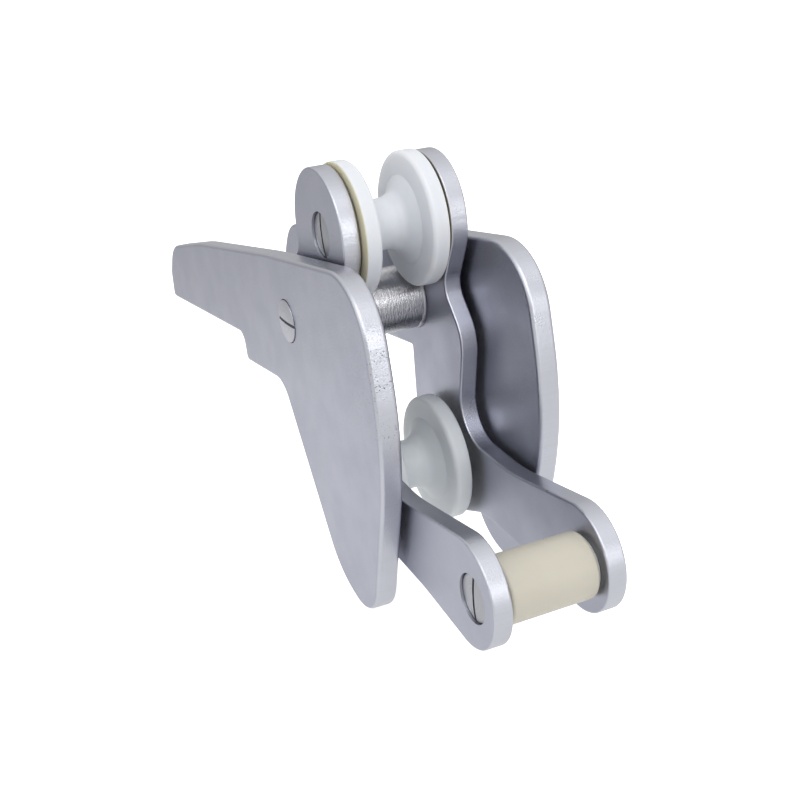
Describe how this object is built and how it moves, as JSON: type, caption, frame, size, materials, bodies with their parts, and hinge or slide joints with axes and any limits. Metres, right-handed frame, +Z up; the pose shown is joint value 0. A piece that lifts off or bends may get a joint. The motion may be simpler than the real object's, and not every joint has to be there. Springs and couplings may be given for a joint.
{
  "type": "tilting bow roller",
  "caption": "Tilting bow roller: fixed cheeks on a deck plate carry a cradle of two curved arms that tips on a cross pivot, with waisted rollers and a plain front roller.",
  "frame": {"origin": "middle of the four deck bolt holes, on the underside of the deck plate", "axes": "+X outboard over the bow, +Y to port, +Z up, away from the deck"},
  "size_m": [0.3769, 0.0874, 0.1955],
  "materials": {
    "satin_steel": "satin, blasted and lightly ground",
    "weld_steel": "as welded",
    "pin_steel": "turned",
    "bush_bronze": "turned bronze",
    "washer_nylon": "matt",
    "white_nylon": "satin, slightly translucent",
    "grey_nylon": "satin, slightly translucent",
    "cream_nylon": "satin, slightly translucent"
  },
  "bodies": {
    "bracket": {"starboard_cheek": "satin_steel", "port_cheek": "satin_steel", "deck_plate": "satin_steel", "starboard_plate_weld": "weld_steel", "port_plate_weld": "weld_steel", "pivot_bolt": "pin_steel", "pivot_screw": "pin_steel", "pivot_washers": "washer_nylon"},
    "cradle": {"starboard_arm": "satin_steel", "port_arm": "satin_steel", "pivot_tube": "satin_steel", "starboard_tube_weld": "weld_steel", "port_tube_weld": "weld_steel", "pivot_bushes": "bush_bronze", "upper_axle": "pin_steel", "middle_axle": "pin_steel", "front_axle": "pin_steel", "axle_screws": "pin_steel", "upper_washers": "washer_nylon", "middle_washers": "washer_nylon", "front_washers": "washer_nylon"},
    "upper_wheel": {"upper_roller": "white_nylon"},
    "middle_wheel": {"middle_roller": "grey_nylon"},
    "front_wheel": {"front_roller": "cream_nylon"}
  },
  "joints": [
    {"name": "tilt", "type": "hinge", "parent": "bracket", "child": "cradle", "pos_m": [0.146, 0, 0.0192], "axis": [0, -1, 0], "range_deg": [0, 50]},
    {"name": "upper_spin", "type": "hinge", "parent": "cradle", "child": "upper_wheel", "pos_m": [0.1713, 0, 0.0592], "axis": [0, 1, 0], "continuous": true},
    {"name": "middle_spin", "type": "hinge", "parent": "cradle", "child": "middle_wheel", "pos_m": [0.169, 0, -0.0548], "axis": [0, 1, 0], "continuous": true},
    {"name": "front_spin", "type": "hinge", "parent": "cradle", "child": "front_wheel", "pos_m": [0.285, 0, -0.071], "axis": [0, 1, 0], "continuous": true}
  ]
}
